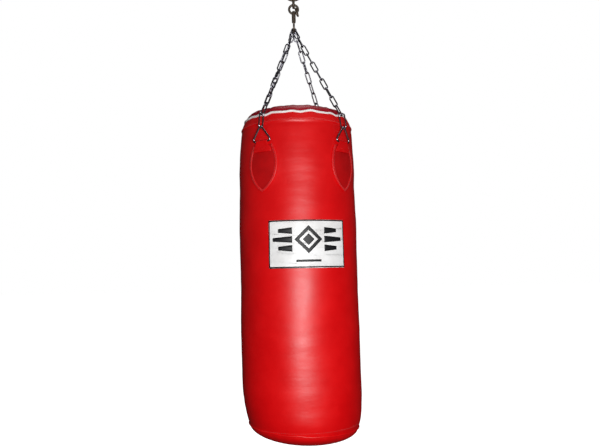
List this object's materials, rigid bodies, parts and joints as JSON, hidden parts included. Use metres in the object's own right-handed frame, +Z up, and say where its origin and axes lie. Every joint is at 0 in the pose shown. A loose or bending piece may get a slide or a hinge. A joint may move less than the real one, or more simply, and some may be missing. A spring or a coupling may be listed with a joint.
{
  "type": "heavy punching bag",
  "caption": "Heavy cylindrical punching bag in red vinyl with piped rim, shield patches, delta rings and snap hooks, hung by a four-leg chain bridle from a swivel and ring.",
  "frame": {"origin": "hanging point: where a ceiling hook bears on the inside of the top ring", "axes": "+Z up, -Y the front with the label, +X to the right seen from the front"},
  "size_m": [0.3479, 0.348, 1.376],
  "materials": {
    "red_vinyl": "satin",
    "dark_red_vinyl": "satin",
    "white_vinyl": "satin",
    "label_vinyl": "satin",
    "webbing": "matte",
    "felt": "matte",
    "textile_filling": "matte",
    "plated_rod": "polished",
    "small_steel": "satin",
    "zinc_chain": "polished",
    "forged_steel": "satin",
    "weathered_steel": "satin",
    "zip_tape_cloth": "matte",
    "zip_plastic": "satin",
    "zip_metal": "satin"
  },
  "bodies": {
    "ring": {"hanging_ring": "weathered_steel"},
    "link": {"heavy_link": "weathered_steel"},
    "swivel": {"swivel_housing": "forged_steel", "spare_link": "weathered_steel"},
    "bag": {"cover_tube": "red_vinyl", "top_panel": "dark_red_vinyl", "bottom_panel": "dark_red_vinyl", "rim_piping": "white_vinyl", "bottom_welt": "red_vinyl", "rim_band": "webbing", "felt_liner": "felt", "filling": "textile_filling", "label_panel": "label_vinyl", "patch_front_left": "red_vinyl", "patch_front_right": "red_vinyl", "patch_rear_right": "red_vinyl", "patch_rear_left": "red_vinyl", "loop_front_left": "red_vinyl", "loop_front_right": "red_vinyl", "loop_rear_right": "red_vinyl", "loop_rear_left": "red_vinyl", "delta_ring_front_left": "plated_rod", "delta_ring_front_right": "plated_rod", "delta_ring_rear_right": "plated_rod", "delta_ring_rear_left": "plated_rod", "snap_hook_front_left": "plated_rod", "snap_hook_front_right": "plated_rod", "snap_hook_rear_right": "plated_rod", "snap_hook_rear_left": "plated_rod", "chain_leg_front_left": "zinc_chain", "chain_leg_front_right": "zinc_chain", "chain_leg_rear_right": "zinc_chain", "chain_leg_rear_left": "zinc_chain", "swivel_eye_pin": "forged_steel", "swivel_washer": "forged_steel", "swivel_head": "forged_steel", "zip_tape_front": "zip_tape_cloth", "zip_tape_rear": "zip_tape_cloth", "zip_teeth": "zip_plastic", "zip_stops": "zip_metal"},
    "gate_front_left": {"hook_gate_front_left": "plated_rod", "gate_pin_front_left": "small_steel", "gate_spring_front_left": "small_steel"},
    "gate_front_right": {"hook_gate_front_right": "plated_rod", "gate_pin_front_right": "small_steel", "gate_spring_front_right": "small_steel"},
    "gate_rear_right": {"hook_gate_rear_right": "plated_rod", "gate_pin_rear_right": "small_steel", "gate_spring_rear_right": "small_steel"},
    "gate_rear_left": {"hook_gate_rear_left": "plated_rod", "gate_pin_rear_left": "small_steel", "gate_spring_rear_left": "small_steel"},
    "slider": {"zip_slider": "zip_metal"},
    "puller": {"zip_puller": "zip_metal"}
  },
  "joints": [
    {"name": "swing", "type": "hinge", "parent": "ring", "child": "link", "pos_m": [0, 0, -0.0465], "axis": [1, 0, 0], "range_deg": [-35, 35]},
    {"name": "sway", "type": "hinge", "parent": "link", "child": "swivel", "pos_m": [0, 0, -0.0697], "axis": [0, 1, 0], "range_deg": [-30, 30]},
    {"name": "spin", "type": "hinge", "parent": "swivel", "child": "bag", "pos_m": [0, 0, -0.1321], "axis": [0, 0, 1], "continuous": true},
    {"name": "gate_front_left_hinge", "type": "hinge", "parent": "bag", "child": "gate_front_left", "pos_m": [-0.10168, -0.15362, -0.45709], "axis": [-0.8339, 0.5519, 0], "range_deg": [0, 25], "stiffness_Nm_per_rad": 0.02, "springref_deg": -20.05},
    {"name": "gate_front_right_hinge", "type": "hinge", "parent": "bag", "child": "gate_front_right", "pos_m": [0.14112, -0.11842, -0.45709], "axis": [-0.6428, -0.766, 0], "range_deg": [0, 25], "stiffness_Nm_per_rad": 0.02, "springref_deg": -20.05},
    {"name": "gate_rear_right_hinge", "type": "hinge", "parent": "bag", "child": "gate_rear_right", "pos_m": [0.10168, 0.15362, -0.45709], "axis": [0.8339, -0.5519, 0], "range_deg": [0, 25], "stiffness_Nm_per_rad": 0.02, "springref_deg": -20.05},
    {"name": "gate_rear_left_hinge", "type": "hinge", "parent": "bag", "child": "gate_rear_left", "pos_m": [-0.14112, 0.11842, -0.45709], "axis": [0.6428, 0.766, 0], "range_deg": [0, 25], "stiffness_Nm_per_rad": 0.02, "springref_deg": -20.05},
    {"name": "zip_slide", "type": "slide", "parent": "bag", "child": "slider", "axis": [1, 0, 0], "range_m": [0, 0.184]},
    {"name": "puller_hinge", "type": "hinge", "parent": "slider", "child": "puller", "pos_m": [-0.092, 0, -0.39712], "axis": [0, -1, 0], "range_deg": [0, 165]}
  ]
}
